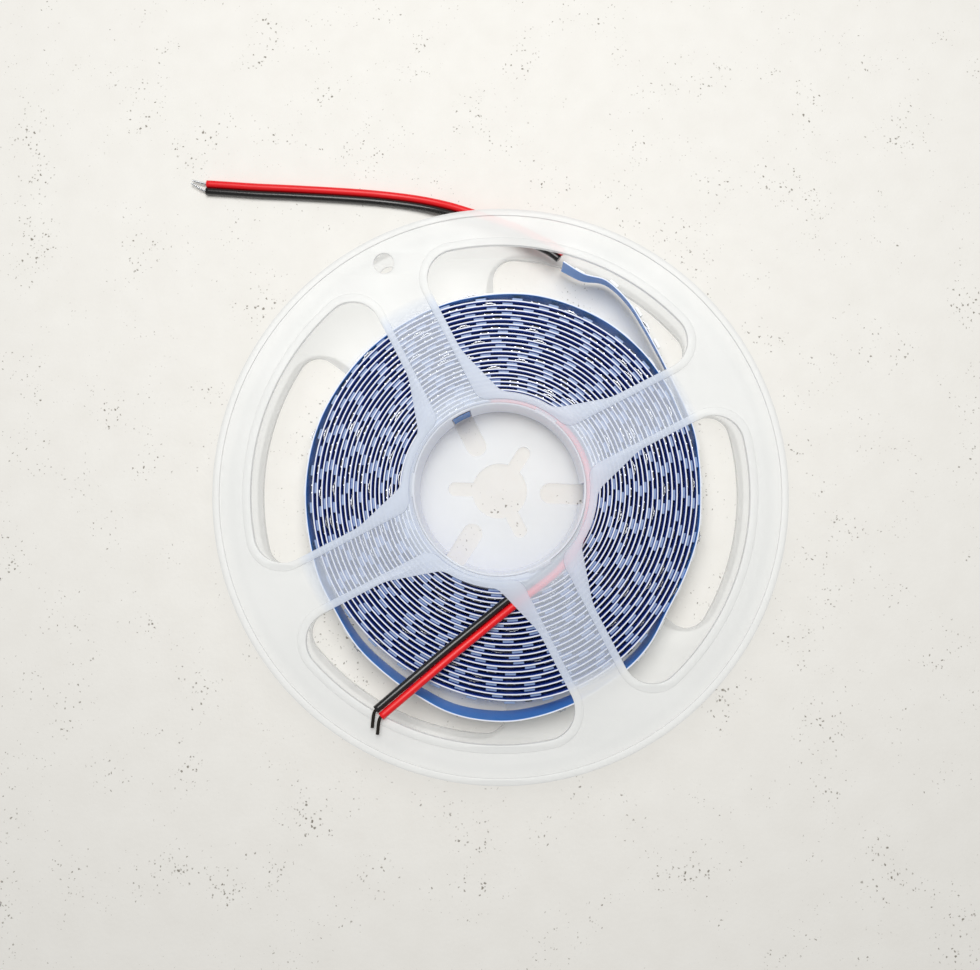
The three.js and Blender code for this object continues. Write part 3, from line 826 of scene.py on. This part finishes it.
for name, places, size, rounding, material, slot in (
    ("resistors", resistor_places, RESISTOR_SIZE, 0.05, RESISTOR, "strip"),
    ("resistor_terminals", terminal_places, TERMINAL_SIZE, 0.1, SOLDER, "tinned_wire"),
    ("cut_pads", pad_places, PAD_SIZE, 0.02, SOLDER, "tinned_wire"),
    ("joint_ridges", joint_places, JOINT_SIZE, 0.03, SOLDER, "tinned_wire"),
):
    copy_along(name, places, rounded_box(name + "_piece", size, rounding), material)

# %% [markdown]
# Solder holds each wire to the strip's end. A mound is a flattened dome that sits where the solid one
# does.

# %% Solder mounds
MOUND_HALF = (0.36, 0.85, 0.7)
MOUND_INWARD = 0.1


def make_mound(node):
    low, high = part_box(node)
    middle = Vector([(a + b) / 2 for a, b in zip(low, high)])
    toward = Vector((middle[0], middle[1], 0)).normalized()
    turn = Matrix.Rotation(math.atan2(toward.y, toward.x), 4, "Z")
    shape = bmesh.new()
    bmesh.ops.create_uvsphere(shape, u_segments=24, v_segments=14, radius=1)
    for vertex in shape.verts:
        dome = Vector([vertex.co[k] * MOUND_HALF[k] for k in range(3)]) * MM
        vertex.co = turn @ dome + middle - toward * MOUND_INWARD * MM
    name = node + "_mound"
    mound = finish_piece(add_mesh(name, mesh_from(name, shape), smooth_angle=60), SOLDER)
    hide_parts(node)


for end_name in ("inner", "outer"):
    for pole in ("plus", "minus"):
        make_mound(f"{end_name}_solder_{pole}")

# %% [markdown]
# The flanges are moulded plates with windows. Their outlines are arcs and straight sides, so a few
# functions draw them: a side of a window runs along a spoke, which flares towards the hub, and ends in
# a fillet at each corner. A bead with the same kind of outline runs round each window.

# %% Outlines
SPOKE_ANGLE = 27.3
SPOKES = 4
SPOKE_HALF = 6.6
FLARE_START = 31.5
FLARE_SLOPE = 0.3
FLARE_BEND_R = 12
WINDOW_INNER_R = 21.7
WINDOW_OUTER_R = 55.1
UPPER_FILLETS = (6.5, 4)
LOWER_FILLETS = (4.8, 4.8)
BEAD_FILLETS = (8, 3.5)
BEAD_WIDTH = 1.7
ARC_STEP = 3.0
RIM_STEP = 2.0
FILLET_STEP = 7.5
SMALL_ARC_STEP = 15


def arc(centre, radius, start, end, step=ARC_STEP):
    count = max(1, math.ceil(abs(end - start) / step))
    angles = [start + (end - start) * i / count for i in range(count + 1)]
    return [
        (centre[0] + radius * math.cos(math.radians(a)), centre[1] + radius * math.sin(math.radians(a)))
        for a in angles
    ]


def circle(radius, centre=(0, 0), step=ARC_STEP):
    return arc(centre, radius, 0, 360, step)[:-1]


def turned(points, degrees):
    c, s = math.cos(math.radians(degrees)), math.sin(math.radians(degrees))
    return [(x * c - y * s, x * s + y * c) for x, y in points]


def window_side(half, slope, inner, outer, fillets):
    """One side of a window, from its outer corner in, with the spoke along +X."""
    outer_fillet, inner_fillet = fillets
    top = (math.sqrt((outer - outer_fillet) ** 2 - (half + outer_fillet) ** 2), half + outer_fillet)
    outer_angle = math.degrees(math.atan2(top[1], top[0]))
    points = arc(top, outer_fillet, outer_angle, -90, FILLET_STEP)
    lean = math.degrees(math.atan(slope))
    if slope > 0:
        bend = (FLARE_START + FLARE_BEND_R * math.tan(math.radians(lean / 2)), half + FLARE_BEND_R)
        points += arc(bend, FLARE_BEND_R, -90, -90 - lean)
    away = Vector((slope, 1)).normalized()
    along = Vector((-1, slope)).normalized()
    guide = Vector((FLARE_START, half)) + away * inner_fillet
    near = guide.dot(along)
    reach = -near - math.sqrt(near ** 2 - guide.length_squared + (inner + inner_fillet) ** 2)
    corner = guide + along * reach
    inner_angle = math.degrees(math.atan2(corner.y, corner.x))
    points += arc(corner, inner_fillet, -90 - lean, inner_angle - 180, FILLET_STEP)
    return points, inner_angle, outer_angle


def window_outline(first, second, inner, outer, fillets):
    """A window between two sides, each (angle, half width, slope). fillets are the outer and inner ones."""
    start, start_in, start_out = window_side(first[1], first[2], inner, outer, fillets)
    end, end_in, end_out = window_side(second[1], second[2], inner, outer, fillets)
    mirrored = [(x, -y) for x, y in reversed(end)]
    return (
        turned(start, first[0])
        + arc((0, 0), inner, first[0] + start_in, second[0] - end_in)[1:-1]
        + turned(mirrored, second[0])
        + arc((0, 0), outer, second[0] - end_out, first[0] + start_out, RIM_STEP)[1:-1]
    )


def window_and_bead(first, second, fillets):
    """The outline of a window and the outer outline of its bead."""
    plain = [(angle, half - BEAD_WIDTH, 0) for angle, half, _ in (first, second)]
    return (
        window_outline(first, second, WINDOW_INNER_R, WINDOW_OUTER_R, fillets),
        window_outline(*plain, WINDOW_INNER_R - BEAD_WIDTH, WINDOW_OUTER_R + BEAD_WIDTH, BEAD_FILLETS),
    )


def spoke_side(index):
    return (SPOKE_ANGLE + 360 / SPOKES * index, SPOKE_HALF, FLARE_SLOPE)


# %% [markdown]
# A flat curve with holes turns into a plate with softly rounded edges: Blender fills it, gives it a
# thickness and rolls its rims. Plates, beads and cutters are all made that way and then joined or cut
# with an exact boolean, which keeps the moulding one closed skin.

# %% Plates and booleans
PLATE_ROUNDING = 0.12
BEAD_ROUNDING = 0.1
CUTTER_ROUNDING = 0.01
BEAD_SINK = 0.15
RIM_BEAD_WIDTH = 1.5
TIE_HOLE = {"radius": 2.35, "at": 57.4, "angle": 117.2}


def plate(name, outlines, bottom, top, rounding):
    data = bpy.data.curves.new(name, "CURVE")
    data.dimensions = "2D"
    data.fill_mode = "BOTH"
    data.extrude = ((top - bottom) / 2 - rounding) * MM
    data.bevel_depth = rounding * MM
    data.bevel_resolution = 1
    data.offset = -rounding * MM
    for outline in outlines:
        spline = data.splines.new("POLY")
        spline.points.add(len(outline) - 1)
        for point, (x, y) in zip(spline.points, outline):
            point.co = (x * MM, y * MM, 0, 1)
        spline.use_cyclic_u = True
    holder = new_object(name, data)
    mesh = mesh_of(holder)
    bpy.data.objects.remove(holder)
    mesh.transform(Matrix.Translation((0, 0, (top + bottom) / 2 * MM)))
    turn_outward(mesh)
    return new_object(name, mesh)


def combine(piece, other, operation):
    modifier = piece.modifiers.new("cut", "BOOLEAN")
    modifier.operation = operation
    modifier.solver = "EXACT"
    modifier.object = other
    mesh = mesh_of(piece)
    piece.modifiers.clear()
    piece.data = mesh
    bpy.data.objects.remove(other)


def flange_plate(name, plate_bottom, bead_low, windows, hub_hole=None):
    """A plate with windows, and its rim bead and window beads on the outer face."""
    tie = circle(TIE_HOLE["radius"], on_circle(TIE_HOLE["at"], TIE_HOLE["angle"]), SMALL_ARC_STEP)
    holes = [outline for outline, _ in windows] + [tie]
    if hub_hole:
        holes.append(circle(hub_hole))
    rim = circle(FLANGE_R, step=RIM_STEP)
    piece = plate(name, [rim] + holes, plate_bottom, plate_bottom + PLATE, PLATE_ROUNDING)
    above = bead_low > plate_bottom
    low = bead_low - (BEAD_SINK if above else 0)
    high = bead_low + BEAD + (0 if above else BEAD_SINK)
    rim_bead = [rim, circle(FLANGE_R - RIM_BEAD_WIDTH, step=RIM_STEP)]
    for outlines in [rim_bead] + [[edge, outline] for outline, edge in windows]:
        combine(piece, plate(name + "_bead", outlines, low, high, BEAD_ROUNDING), "UNION")
    return piece


def settle(piece, name):
    """A joined piece as a clean mesh under its final name."""
    mesh = piece.data
    bpy.data.objects.remove(piece)
    turn_outward(mesh)
    print(name, len(mesh.polygons), "faces")
    return add_mesh(name, mesh)


# %% [markdown]
# The upper flange is a ring that fits over the hub. Four equal windows leave four spokes between them.

# %% Upper flange
HUB_R = 19.2
FIT_GAP = 0.08


def make_upper_flange():
    windows = [window_and_bead(spoke_side(i), spoke_side(i + 1), UPPER_FILLETS) for i in range(SPOKES)]
    piece = flange_plate("upper", UPPER_BOTTOM, UPPER_TOP, windows, HUB_R + FIT_GAP)
    return settle(piece, "upper_flange_skin")


upper_skin = make_upper_flange()

# %% [markdown]
# The lower flange carries the hub. The hub wall is a ring with draft, turned from its section, and the
# slots are cut through it from below, so that the rim above them stays whole. Its windows lie in pairs
# beside two of the spokes, and each ends in a straight side away from them.

# %% Lower flange and hub
HUB_INNER_FLOOR_R = 18.4
HUB_INNER_TOP_R = 18.8
HUB_RIM_CHAMFER = 0.1
WALL_SINK = 0.5
LOWER_WINDOW_SPAN = 64.5
SPINDLE_R = 6.35
NOTCH = {"width": 3.2, "reach": 11.9, "angle": 57.5}
SLOT = {"width": 4.7, "start": 9.4, "angle": -2.5}
LIP = {"radius": 19.8, "half_angle": 8, "height": 0.22, "rounding": 0.03, "below_rim": 0.02}
LIP_SINK = 0.15
HUB_FEATURES = 3
CUT_PAST = 1
SLOT_PAST = 0.2


def turned_ring(name, section, steps=120):
    """A closed ring turned from a section of (radius, height) points."""
    vertices = []
    faces = []
    count = len(section)
    for i in range(steps):
        turn = 2 * math.pi * i / steps
        vertices += [(r * math.cos(turn), r * math.sin(turn), z) for r, z in section]
    for i in range(steps):
        for k in range(count):
            a = i * count + k
            b = i * count + (k + 1) % count
            c = (i + 1) % steps * count
            faces.append((a, b, c + (k + 1) % count, c + k))
    piece = add_piece(name, vertices, faces)
    turn_outward(piece.data)
    return piece


def spindle_outline():
    """The spindle hole with its three notches, as one outline."""
    half = NOTCH["width"] / 2
    meet = math.degrees(math.asin(half / SPINDLE_R))
    points = []
    for i in range(HUB_FEATURES):
        angle = NOTCH["angle"] + 360 / HUB_FEATURES * i
        tip = on_circle(NOTCH["reach"] - half, angle)
        points += arc(tip, half, angle - 90, angle + 90, SMALL_ARC_STEP)
        points += arc((0, 0), SPINDLE_R, angle + meet, angle + 360 / HUB_FEATURES - meet)
    return points


def slot_outline(angle):
    half = SLOT["width"] / 2
    end = HUB_R + SLOT_PAST
    points = arc((SLOT["start"] + half, 0), half, 90, 270, SMALL_ARC_STEP) + [(end, -half), (end, half)]
    return turned(points, angle)


def lip_outline(angle):
    start, end = angle - LIP["half_angle"], angle + LIP["half_angle"]
    return arc((0, 0), LIP["radius"], start, end) + arc((0, 0), HUB_R - LIP_SINK, end, start)


def hub_wall_section():
    draft = (HUB_INNER_TOP_R - HUB_INNER_FLOOR_R) / (REEL_HIGH - LOWER_TOP)
    low = LOWER_TOP - WALL_SINK
    high = REEL_HIGH - HUB_RIM_CHAMFER
    return [
        (HUB_INNER_FLOOR_R - draft * WALL_SINK, low), (HUB_R, low),
        (HUB_R, high), (HUB_R - HUB_RIM_CHAMFER, REEL_HIGH),
        (HUB_INNER_TOP_R + HUB_RIM_CHAMFER, REEL_HIGH), (HUB_INNER_TOP_R, high),
    ]


def make_lower_flange():
    windows = []
    for index in (0, SPOKES // 2):
        spoke = spoke_side(index)
        after = (spoke[0] + LOWER_WINDOW_SPAN, 0, 0)
        before = (spoke[0] - LOWER_WINDOW_SPAN, 0, 0)
        windows += [window_and_bead(*pair, LOWER_FILLETS) for pair in ((spoke, after), (before, spoke))]
    piece = flange_plate("lower", REEL_LOW + BEAD, REEL_LOW, windows)
    low = REEL_LOW - CUT_PAST
    combine(piece, turned_ring("wall", hub_wall_section()), "UNION")
    spindle = plate("spindle", [spindle_outline()], low, LOWER_TOP + CUT_PAST, CUTTER_ROUNDING)
    combine(piece, spindle, "DIFFERENCE")
    for i in range(HUB_FEATURES):
        turn = 360 / HUB_FEATURES * i
        slot = plate("slot", [slot_outline(SLOT["angle"] + turn)], low, UPPER_BOTTOM, CUTTER_ROUNDING)
        combine(piece, slot, "DIFFERENCE")
        bottom, top = REEL_HIGH - LIP["height"], REEL_HIGH - LIP["below_rim"]
        lip = plate("lip", [lip_outline(NOTCH["angle"] + turn)], bottom, top, LIP["rounding"])
        combine(piece, lip, "UNION")
    return settle(piece, "lower_flange_skin")


lower_skin = make_lower_flange()

# %% [markdown]
# The plastic is frosted. Where the strip is close under it, its turns show as sharp lines in a haze:
# that is the shader's Alpha. Further out the haze hides what lies below. The matt beads and flares are
# nearly opaque, but they glow with the light from below: that is a Translucent shader mixed in. The
# height on the piece and the distance from its axis say which place is which. Light bends on through
# real plastic however it scatters, so rays other than the camera's meet only a share of both. Over the
# roll a blue tint is painted into the plastic's colour by distance from the axis: painted light, for the
# blue that the liner scatters up into it. A weak emission on the inner face of the hub wall is painted
# light too, for the light that the wall gathers at its rim and gives off again.

# %% Frosted plastic
PLASTIC = colour(245, 246, 245), colour(239, 241, 240)
PAINTED_LINER_BOUNCE = colour(228, 239, 255)
PAINTED_LINER_BOUNCE_SHARES = [(18, 0.2), (20, 0.9), (44, 0.9), (47, 0)]
GLOW = colour(244, 248, 255)
NO_GLOW = colour(0, 0, 0)
WALL_GLOW = 0.3
WALL_GLOW_EDGE = 0.2
UNSEEN_SHARE = 0.1


def height_and_reach(tree):
    """The height on the piece and the distance from its axis, in metres."""
    place = tree.nodes.new("ShaderNodeTexCoord").outputs["Object"]
    parts = add_node(tree, "ShaderNodeSeparateXYZ", {"Vector": place})
    flat = add_node(tree, "ShaderNodeVectorMath", {0: place, 1: (1, 1, 0)}, operation="MULTIPLY")
    reach = add_node(tree, "ShaderNodeVectorMath", {0: flat.outputs["Vector"]}, operation="LENGTH")
    return parts.outputs["Z"], reach.outputs["Value"]


def ramp(tree, value, stops):
    """A value that follows another one through stops, each (place in millimetres, what it is there)."""
    result = stops[0][1]
    for (start, _), (end, after) in zip(stops, stops[1:]):
        result = add_node(tree, "ShaderNodeMapRange", {
            "Value": value, "From Min": start * MM, "From Max": end * MM, "To Min": result, "To Max": after,
        }).outputs["Result"]
    return result


def less_for_other_rays(tree, value):
    """The value as the camera meets it, and a share of it for every other ray."""
    seen = tree.nodes.new("ShaderNodeLightPath").outputs["Is Camera Ray"]
    share = calculate(tree, "MULTIPLY_ADD", seen, 1 - UNSEEN_SHARE, UNSEEN_SHARE)
    return calculate(tree, "MULTIPLY", share, value)


def make_frosted(name, heights, panel, raised, wall_glow=0.0):
    """panel and raised say how the flat places and the raised ones look: how opaque each is and how
    much it glows, as stops by distance. heights are where panel becomes raised. wall_glow is the light
    that the inner face of the hub wall gathers and gives off again."""
    material = make_material(name, *PLASTIC, (0.36, 0.52), 500, colour_scale=45.0, bump=0.1)
    tree = material.node_tree
    shader = tree.nodes["Principled BSDF"]
    height, reach = height_and_reach(tree)
    white = shader.inputs["Base Color"].links[0].from_socket
    # Painted light: a blue tint by distance from the axis, for the blue that the liner scatters up into the
    # plastic over the roll.
    painted_bounce = mix_colours(tree, ramp(tree, reach, PAINTED_LINER_BOUNCE_SHARES), white, PAINTED_LINER_BOUNCE)
    feed(tree, shader.inputs["Base Color"], painted_bounce)
    # Painted light: a weak emission on the inner face of the hub wall, for the light that the wall gathers
    # at its rim and gives off again.
    if wall_glow:
        upright = ramp(tree, height, [(heights[0], 0), (heights[1], 1)])
        inner_face = ramp(tree, reach, [(HUB_INNER_TOP_R, upright), (HUB_INNER_TOP_R + WALL_GLOW_EDGE, 0)])
        feed(tree, shader.inputs["Emission Color"], mix_colours(tree, inner_face, NO_GLOW, GLOW))
        feed(tree, shader.inputs["Emission Strength"], wall_glow)
    hidden, lit = (
        ramp(tree, height, [(heights[0], ramp(tree, reach, low)), (heights[1], ramp(tree, reach, high))])
        for low, high in zip(panel, raised)
    )
    feed(tree, shader.inputs["Alpha"], less_for_other_rays(tree, hidden))
    passing = add_node(tree, "ShaderNodeBsdfTranslucent", {"Color": GLOW})
    sockets = {"Fac": less_for_other_rays(tree, lit), 1: shader.outputs["BSDF"], 2: passing.outputs["BSDF"]}
    mix = add_node(tree, "ShaderNodeMixShader", sockets)
    feed(tree, tree.nodes["Material Output"].inputs["Surface"], mix.outputs["Shader"])
    return material


FROSTED_UPPER = make_frosted(
    "frosted_plastic", (UPPER_TOP + 0.05, REEL_HIGH - 0.1),
    panel=([(21.5, 0.45), (25, 0.26), (44, 0.26), (47, 0.62)], [(44, 0.06)]),
    raised=([(44, 0.85), (47, 0.72)], [(44, 0.3), (47, 0.08)]),
)
FROSTED_LOWER = make_frosted(
    "frosted_hub", (LOWER_TOP + 0.2, LOWER_TOP + 1),
    panel=([(19, 0.6), (24, 0.4)], [(19, 0.05)]),
    raised=([(19.1, 0.85), (19.4, 0.45)], [(19, 0.2)]),
    wall_glow=WALL_GLOW,
)
finish_piece(upper_skin, FROSTED_UPPER)
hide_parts("upper_flange")
finish_piece(lower_skin, FROSTED_LOWER)
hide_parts("lower_flange")

# %% [markdown]
# The stage is a plain pale table with small specks. The specks are the cells of a Voronoi texture: each
# cell has its own chance, a slow noise gathers them in patches, and a fine noise bends their outlines.

# %% Table
TABLE_REACH = 1.5
TABLE_COLOURS = colour(248, 247, 243), colour(240, 238, 233)
SPECK_COLOUR = colour(144, 139, 130)
SPECK_SCALE = 1500
SPECK_LARGEST = 0.62
SPECK_RARITY = 2
SPECK_EDGE = 3.5
WOBBLE = (0.0009, 0.0009, 0)
WOBBLE_SCALE = 1600
PATCH_SCALE = 75
PATCH_DETAIL = 5
PATCH_RANGE = (0.36, 0.7)


def speck_mask(tree):
    """Small irregular specks of many sizes, gathered in loose patches."""
    place = tree.nodes.new("ShaderNodeTexCoord").outputs["Object"]
    wobble = add_node(tree, "ShaderNodeTexNoise", {"Vector": place, "Scale": WOBBLE_SCALE})
    bend = {0: wobble.outputs["Color"], 1: WOBBLE, 2: place}
    bent = add_node(tree, "ShaderNodeVectorMath", bend, operation="MULTIPLY_ADD")
    cells = add_node(tree, "ShaderNodeTexVoronoi", {"Vector": bent.outputs["Vector"], "Scale": SPECK_SCALE})
    slow = {"Vector": place, "Scale": PATCH_SCALE, "Detail": PATCH_DETAIL}
    size = add_node(tree, "ShaderNodeMapRange", {
        "Value": add_node(tree, "ShaderNodeTexNoise", slow).outputs["Fac"],
        "From Min": PATCH_RANGE[0], "From Max": PATCH_RANGE[1], "To Min": 0.0, "To Max": SPECK_LARGEST,
    })
    chance = add_node(tree, "ShaderNodeSeparateColor", {"Color": cells.outputs["Color"]})
    rare = calculate(tree, "POWER", chance.outputs["Red"], SPECK_RARITY)
    spread = calculate(tree, "MULTIPLY", size.outputs["Result"], rare)
    inside = calculate(tree, "SUBTRACT", spread, cells.outputs["Distance"])
    return calculate(tree, "MULTIPLY", inside, SPECK_EDGE, use_clamp=True)


def make_table():
    mesh = bpy.data.meshes.new("table")
    corners = [(-1, -1), (1, -1), (1, 1), (-1, 1)]
    mesh.from_pydata([(x * TABLE_REACH, y * TABLE_REACH, 0) for x, y in corners], [], [(0, 1, 2, 3)])
    material = make_material(
        "plaster_table", *TABLE_COLOURS, (0.65, 0.8), 900, colour_scale=140.0, bump=0.4,
        Specular_IOR_Level=0.2,
    )
    tree = material.node_tree
    base = tree.nodes["Principled BSDF"].inputs["Base Color"]
    specked = mix_colours(tree, speck_mask(tree), base.links[0].from_socket, SPECK_COLOUR)
    feed(tree, base, specked)
    mesh.materials.append(material)
    table = new_object("table", mesh)


make_table()
print("table reaches", TABLE_REACH, "m each way")

# %% [markdown]
# The light is an even white sky and one broad lamp nearly overhead, which reaches the floor of the reel
# between its walls. It stands a little towards the top of the picture, where the table is brightest.

# %% Light
SKY_COLOUR = (1, 0.995, 0.985, 1)
SKY_STRENGTH = 0.28
LAMP_COLOUR = (1, 0.99, 0.97)
LAMP_POWER = 1.82
LAMP_SIZE = 0.35
LAMP_PLACE = (-0.01, 0.15, 0.45)


def make_light():
    world = bpy.data.worlds.new("sky")
    world.use_nodes = True
    background = world.node_tree.nodes["Background"]
    background.inputs["Color"].default_value = SKY_COLOUR
    background.inputs["Strength"].default_value = SKY_STRENGTH
    bpy.context.scene.world = world
    data = bpy.data.lights.new("key", "AREA")
    data.shape = "DISK"
    data.size = LAMP_SIZE
    data.energy = LAMP_POWER
    data.color = LAMP_COLOUR
    lamp = new_object("key", data)
    lamp.location = LAMP_PLACE
    lamp.rotation_euler = (-lamp.location).to_track_quat("-Z", "Y").to_euler()


make_light()
bpy.context.scene.view_settings.view_transform = "Standard"
print("lamp at", LAMP_PLACE, "with", LAMP_POWER, "W")
